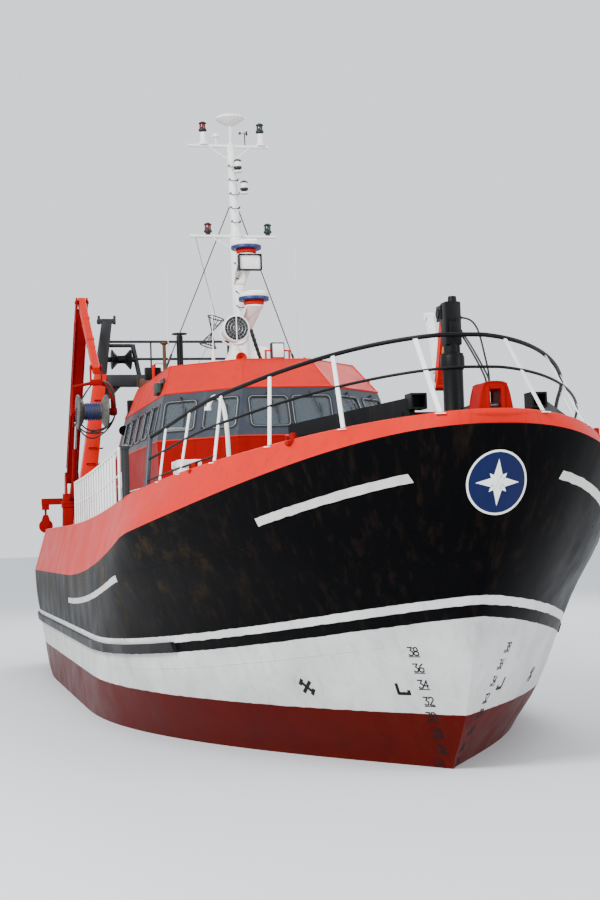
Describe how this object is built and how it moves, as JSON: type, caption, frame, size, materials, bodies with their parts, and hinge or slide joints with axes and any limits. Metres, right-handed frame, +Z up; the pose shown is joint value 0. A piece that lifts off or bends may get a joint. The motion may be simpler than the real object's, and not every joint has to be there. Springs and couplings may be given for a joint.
{
  "type": "stern trawler, steel, 25.6 m",
  "caption": "Steel stern trawler with a flared bow, leaning wheelhouse, lamp mast, aft gantry, deck cranes, net drum and trawl winch.",
  "frame": {"origin": "amidships on the centreline, at the waterline", "axes": "+X forward to the stem, +Y to port, +Z up"},
  "size_m": [25.611, 7.4508, 15.1],
  "materials": {
    "hull_paint": "semi-gloss black marine paint, weathered",
    "red_paint": "salmon red marine enamel",
    "black_paint": "black enamel",
    "bottom_paint": "matt red-brown antifouling",
    "band_paint": "dark blue-grey enamel",
    "white_paint": "white enamel",
    "grey_paint": "dark grey enamel",
    "bronze": "cast propeller bronze",
    "steel": "worn bare steel",
    "chrome_rod": "hard chrome",
    "window_glass": "tinted toughened glass",
    "interior": "floor covering and console",
    "white_plastic": "off-white GRP"
  },
  "bodies": {
    "root": {"hull": "hull_paint", "sole_piece": "bottom_paint", "bulwark": "red_paint", "rubbing_strake": "black_paint", "propeller_nozzle": "bottom_paint", "house_walls": "red_paint", "wheelhouse_band": "band_paint", "wheelhouse_glazing": "window_glass", "wheelhouse_roof": "red_paint", "wheelhouse_floor": "interior", "bow_rail": "white_paint", "side_rail_starboard": "white_paint", "side_rail_port": "white_paint", "stem_fairlead": "red_paint", "bow_frame": "black_paint", "windlass_frame": "black_paint", "fore_crane_pedestal": "grey_paint", "mast": "white_paint", "radar_upper": "white_plastic", "radar_lower": "white_plastic", "searchlight_base": "white_paint", "exhaust_pipe": "black_paint", "vent_post": "black_paint", "satellite_dome": "white_plastic", "floodlight_bracket": "grey_paint", "gantry": "grey_paint", "crane_pedestal": "red_paint", "gallows_starboard": "red_paint", "gallows_port": "red_paint", "net_drum_frame": "red_paint", "trawl_winch_frame": "red_paint", "fish_hatch_coaming": "red_paint", "fore_hatch_coaming": "red_paint", "bollards_starboard": "black_paint", "bollards_port": "black_paint"},
    "propeller": {"propeller": "bronze"},
    "rudder": {"rudder": "bottom_paint"},
    "house_door": {"house_door": "white_paint"},
    "fairlead_roller": {"fairlead_roller": "steel"},
    "windlass_drum": {"windlass_drum": "grey_paint"},
    "fore_column": {"fore_crane_column": "grey_paint"},
    "fore_boom": {"fore_crane_boom": "red_paint"},
    "fore_jib": {"fore_crane_jib": "white_paint"},
    "searchlight": {"searchlight": "white_paint"},
    "towing_roller": {"towing_roller": "black_paint"},
    "crane_column": {"crane_column": "red_paint"},
    "crane_boom": {"crane_boom": "red_paint"},
    "crane_jib": {"crane_jib": "red_paint"},
    "luff_barrel": {"luff_cylinder_barrel": "red_paint"},
    "luff_rod": {"luff_cylinder_rod": "chrome_rod"},
    "power_block": {"power_block_arm": "red_paint"},
    "power_block_drum": {"power_block_drum": "grey_paint"},
    "towing_block_starboard": {"towing_block_starboard": "red_paint"},
    "towing_block_port": {"towing_block_port": "red_paint"},
    "net_drum": {"net_drum": "grey_paint"},
    "warp_drum_starboard": {"warp_drum_starboard": "grey_paint"},
    "warp_drum_port": {"warp_drum_port": "grey_paint"},
    "fish_hatch_lid": {"fish_hatch_lid": "grey_paint"},
    "fore_hatch_lid": {"fore_hatch_lid": "grey_paint"}
  },
  "joints": [
    {"name": "propeller_spin", "type": "hinge", "parent": "root", "child": "propeller", "pos_m": [-10.8, 0, -2.09], "axis": [1, 0, 0], "continuous": true},
    {"name": "rudder_turn", "type": "hinge", "parent": "root", "child": "rudder", "pos_m": [-11.7, 0, -2], "axis": [0, 0, 1], "range_deg": [-35, 35]},
    {"name": "door_swing", "type": "hinge", "parent": "root", "child": "house_door", "pos_m": [-2.825, -2.305, 3.5], "axis": [0, 0, 1], "range_deg": [0, 110]},
    {"name": "fairlead_spin", "type": "hinge", "parent": "root", "child": "fairlead_roller", "pos_m": [12.53, 0, 4.45], "axis": [0, 1, 0], "continuous": true},
    {"name": "windlass_turn", "type": "hinge", "parent": "root", "child": "windlass_drum", "pos_m": [9.75, 0, 4.1041], "axis": [0, 1, 0], "continuous": true},
    {"name": "fore_crane_slew", "type": "hinge", "parent": "root", "child": "fore_column", "pos_m": [11.26, 0, 5.5], "axis": [0, 0, 1], "range_deg": [-90, 90]},
    {"name": "fore_crane_luff", "type": "hinge", "parent": "fore_column", "child": "fore_boom", "pos_m": [11.07, 0, 5.74], "axis": [0, 1, 0], "range_deg": [0, 110]},
    {"name": "fore_crane_fold", "type": "hinge", "parent": "fore_boom", "child": "fore_jib", "pos_m": [10.74, 0, 4.86], "axis": [0, -1, 0], "range_deg": [0, 120]},
    {"name": "searchlight_pan", "type": "hinge", "parent": "root", "child": "searchlight", "pos_m": [-0.15, -0.39, 7.1], "axis": [0, 0, 1], "range_deg": [-170, 170]},
    {"name": "roller_spin", "type": "hinge", "parent": "root", "child": "towing_roller", "pos_m": [-5.8, -1.89, 7.19], "axis": [0, 1, 0], "continuous": true},
    {"name": "crane_slew", "type": "hinge", "parent": "root", "child": "crane_column", "pos_m": [-9.1, -2.76, 4.1], "axis": [0, 0, 1], "range_deg": [-120, 0]},
    {"name": "crane_luff", "type": "hinge", "parent": "crane_column", "child": "crane_boom", "pos_m": [-9.1, -2.76, 4.65], "axis": [0, -1, 0], "range_deg": [-15, 20]},
    {"name": "crane_fold", "type": "hinge", "parent": "crane_boom", "child": "crane_jib", "pos_m": [-5.8, -2.76, 8.5], "axis": [0, -1, 0], "range_deg": [-20, 80]},
    {"name": "luff_barrel_swing", "type": "hinge", "parent": "crane_column", "child": "luff_barrel", "pos_m": [-8.77, -2.76, 4.18], "axis": [0, -1, 0], "range_deg": [-15, 19]},
    {"name": "luff_rod_slide", "type": "slide", "parent": "luff_barrel", "child": "luff_rod", "axis": [0.5178, 0, 0.8555], "range_m": [-0.15, 0.2]},
    {"name": "power_block_swing", "type": "hinge", "parent": "crane_jib", "child": "power_block", "pos_m": [-3.35, -2.76, 6.72], "axis": [0, -1, 0], "range_deg": [-45, 45]},
    {"name": "power_block_turn", "type": "hinge", "parent": "power_block", "child": "power_block_drum", "pos_m": [-3.35, -2.855, 5.79], "axis": [0, 1, 0], "continuous": true},
    {"name": "starboard_block_swing", "type": "hinge", "parent": "root", "child": "towing_block_starboard", "pos_m": [-11.3, -3.24, 3.977], "axis": [1, 0, 0], "range_deg": [-35, 35]},
    {"name": "port_block_swing", "type": "hinge", "parent": "root", "child": "towing_block_port", "pos_m": [-11.3, 3.24, 3.977], "axis": [1, 0, 0], "range_deg": [-35, 35]},
    {"name": "net_drum_turn", "type": "hinge", "parent": "root", "child": "net_drum", "pos_m": [-8.3, 0, 3.355], "axis": [0, 1, 0], "continuous": true},
    {"name": "starboard_warp_turn", "type": "hinge", "parent": "root", "child": "warp_drum_starboard", "pos_m": [-6.78, -1.02, 2.965], "axis": [0, 1, 0], "continuous": true},
    {"name": "port_warp_turn", "type": "hinge", "parent": "root", "child": "warp_drum_port", "pos_m": [-6.78, 1.02, 2.965], "axis": [0, 1, 0], "continuous": true},
    {"name": "fish_hatch_open", "type": "hinge", "parent": "root", "child": "fish_hatch_lid", "pos_m": [-9.78, 0, 2.855], "axis": [0, 1, 0], "range_deg": [0, 100]},
    {"name": "fore_hatch_open", "type": "hinge", "parent": "root", "child": "fore_hatch_lid", "pos_m": [8.77, 0, 3.7194], "axis": [0, 1, 0], "range_deg": [0, 100]}
  ],
  "couplings": [
    {"joint": "luff_barrel_swing", "follows": "crane_luff", "ratio": 0.88},
    {"joint": "luff_rod_slide", "follows": "crane_luff", "m_per_rad": 0.515}
  ]
}
